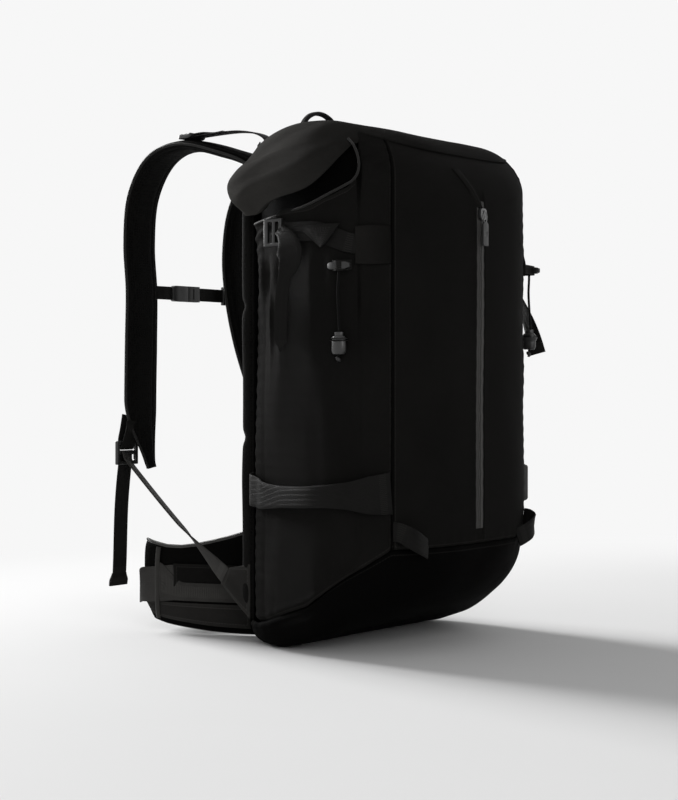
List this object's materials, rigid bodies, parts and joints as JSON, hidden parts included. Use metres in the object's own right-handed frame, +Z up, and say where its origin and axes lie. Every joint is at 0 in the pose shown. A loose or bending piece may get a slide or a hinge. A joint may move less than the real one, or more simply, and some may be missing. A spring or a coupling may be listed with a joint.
{
  "type": "ski touring backpack",
  "caption": "Roll-top ski touring backpack with a zipped outer face, padded shoulder straps, chest strap and hip belt.",
  "frame": {"origin": "middle of the flat strip of the base, under the bag's wearer side", "axes": "+Z up, +Y towards the wearer, -Y the outer face, -X the wearer's left"},
  "size_m": [0.3288, 0.4385, 0.5633],
  "materials": {
    "shell_fabric": "coated woven, matt",
    "base_fabric": "tough woven, matt",
    "zip_tape": "coated tape and coil, satin",
    "spacer_mesh": "spacer mesh over foam, matt",
    "webbing": "woven ribs, matt",
    "buckle_plastic": "moulded, fine texture",
    "elastic_cord": "braided sheath",
    "frame_plastic": "smooth sheet",
    "stay_metal": "brushed",
    "lining": "light woven",
    "zip_slider_metal": "black, satin",
    "zip_pull_fabric": "stiffened tape"
  },
  "bodies": {
    "pack": {"main_body": "shell_fabric", "front_panel": "shell_fabric", "side_panel_left": "shell_fabric", "side_panel_right": "shell_fabric", "corner_tab_left": "shell_fabric", "corner_tab_right": "shell_fabric", "keeper_left": "shell_fabric", "keeper_right": "shell_fabric", "base_panel": "base_fabric", "back_panel": "spacer_mesh", "lumbar_pad": "spacer_mesh", "shoulder_strap_left": "spacer_mesh", "shoulder_strap_right": "spacer_mesh", "zip_chain": "zip_tape", "frame_sheet": "frame_plastic", "frame_stay": "stay_metal", "sleeve": "lining", "lifter_strap_left": "webbing", "lifter_strap_right": "webbing", "lower_webbing_left": "webbing", "lower_webbing_right": "webbing", "ski_band_left": "webbing", "ski_band_right": "webbing", "axe_loop_left": "webbing", "axe_loop_right": "webbing", "lifter_buckle_left": "buckle_plastic", "lifter_buckle_right": "buckle_plastic", "keeper_cord_left": "elastic_cord", "keeper_cord_right": "elastic_cord"},
    "roll_top": {"roll_top": "shell_fabric"},
    "haul_loop": {"haul_loop": "webbing"},
    "zip_slider": {"zip_slider": "zip_slider_metal"},
    "zip_pull": {"zip_pull": "zip_pull_fabric"},
    "ladder_lock_left": {"ladder_lock_left": "buckle_plastic"},
    "strap_tail_left": {"strap_tail_left": "webbing"},
    "compression_left": {"compression_strap_left": "shell_fabric", "side_buckle_left": "buckle_plastic"},
    "compression_tail_left": {"compression_tail_left": "webbing"},
    "cord_lock_left": {"cord_lock_left": "buckle_plastic"},
    "ladder_lock_right": {"ladder_lock_right": "buckle_plastic"},
    "strap_tail_right": {"strap_tail_right": "webbing"},
    "compression_right": {"compression_strap_right": "shell_fabric", "side_buckle_right": "buckle_plastic"},
    "compression_tail_right": {"compression_tail_right": "webbing"},
    "cord_lock_right": {"cord_lock_right": "buckle_plastic"},
    "chest_left": {"sternum_slider_left": "buckle_plastic", "sternum_strap_left": "webbing", "sternum_socket": "buckle_plastic"},
    "chest_right": {"sternum_slider_right": "buckle_plastic", "sternum_strap_right": "webbing"},
    "chest_plug": {"sternum_plug": "buckle_plastic"},
    "belt_left": {"hip_wing_left": "spacer_mesh", "hip_webbing_left": "webbing", "hip_socket": "buckle_plastic"},
    "belt_right": {"hip_wing_right": "spacer_mesh", "hip_webbing_right": "webbing", "hip_plug": "buckle_plastic"}
  },
  "joints": [
    {"name": "roll_top_open", "type": "hinge", "parent": "pack", "child": "roll_top", "pos_m": [0, 0.025, 0.542], "axis": [-1, 0, 0], "range_deg": [0, 85]},
    {"name": "haul_loop_fold", "type": "hinge", "parent": "pack", "child": "haul_loop", "pos_m": [0, 0.0314, 0.514], "axis": [-1, 0, 0], "range_deg": [0, 60]},
    {"name": "zip_slide", "type": "slide", "parent": "pack", "child": "zip_slider", "axis": [0, 0, -1], "range_m": [0, 0.295]},
    {"name": "zip_pull_lift", "type": "hinge", "parent": "zip_slider", "child": "zip_pull", "pos_m": [0, -0.1862, 0.44], "axis": [-1, 0, 0], "range_deg": [0, 100]},
    {"name": "ladder_lock_tilt_left", "type": "hinge", "parent": "pack", "child": "ladder_lock_left", "pos_m": [-0.122, 0.2128, 0.2019], "axis": [1, 0, 0], "range_deg": [0, 25]},
    {"name": "strap_tail_swing_left", "type": "hinge", "parent": "ladder_lock_left", "child": "strap_tail_left", "pos_m": [-0.122, 0.2128, 0.1777], "axis": [1, 0, 0], "range_deg": [-2, 15]},
    {"name": "ladder_lock_tilt_right", "type": "hinge", "parent": "pack", "child": "ladder_lock_right", "pos_m": [0.122, 0.2128, 0.2019], "axis": [1, 0, 0], "range_deg": [0, 25]},
    {"name": "strap_tail_swing_right", "type": "hinge", "parent": "ladder_lock_right", "child": "strap_tail_right", "pos_m": [0.122, 0.2128, 0.1777], "axis": [1, 0, 0], "range_deg": [-2, 15]},
    {"name": "chest_height_left", "type": "slide", "parent": "pack", "child": "chest_left", "axis": [0, 0.1, 0.995], "range_m": [-0.03, 0.03]},
    {"name": "chest_height_right", "type": "slide", "parent": "pack", "child": "chest_right", "axis": [0, 0.1, 0.995], "range_m": [-0.03, 0.03]},
    {"name": "chest_buckle", "type": "slide", "parent": "chest_right", "child": "chest_plug", "axis": [1, 0, 0], "range_m": [0, 0.014]},
    {"name": "belt_open_left", "type": "hinge", "parent": "pack", "child": "belt_left", "pos_m": [-0.0808, 0.049, 0.053], "axis": [0, 0, 1], "range_deg": [0, 28], "deforming": ["lower_webbing_left", "strap_tail_left"]},
    {"name": "belt_open_right", "type": "hinge", "parent": "pack", "child": "belt_right", "pos_m": [0.0808, 0.049, 0.053], "axis": [0, 0, 1], "range_deg": [-28, 0], "deforming": ["lower_webbing_right", "strap_tail_right"]},
    {"name": "compression_open_left", "type": "hinge", "parent": "pack", "child": "compression_left", "pos_m": [-0.11258, -0.15557, 0.401], "axis": [0, 0, 1], "range_deg": [0, 50]},
    {"name": "compression_tail_swing_left", "type": "hinge", "parent": "compression_left", "child": "compression_tail_left", "pos_m": [-0.1464, -0.03563, 0.42223], "axis": [1, 0, 0], "range_deg": [-5, 25]},
    {"name": "cord_lock_slide_left", "type": "slide", "parent": "pack", "child": "cord_lock_left", "axis": [0, 0, 1], "range_m": [0, 0.045]},
    {"name": "compression_open_right", "type": "hinge", "parent": "pack", "child": "compression_right", "pos_m": [0.11258, -0.15557, 0.401], "axis": [0, 0, -1], "range_deg": [0, 50]},
    {"name": "compression_tail_swing_right", "type": "hinge", "parent": "compression_right", "child": "compression_tail_right", "pos_m": [0.1464, -0.03563, 0.42223], "axis": [1, 0, 0], "range_deg": [-5, 25]},
    {"name": "cord_lock_slide_right", "type": "slide", "parent": "pack", "child": "cord_lock_right", "axis": [0, 0, 1], "range_m": [0, 0.045]}
  ],
  "couplings": [
    {"joint": "chest_height_right", "follows": "chest_height_left", "ratio": 1},
    {"joint": "belt_open_right", "follows": "belt_open_left", "ratio": -1}
  ]
}
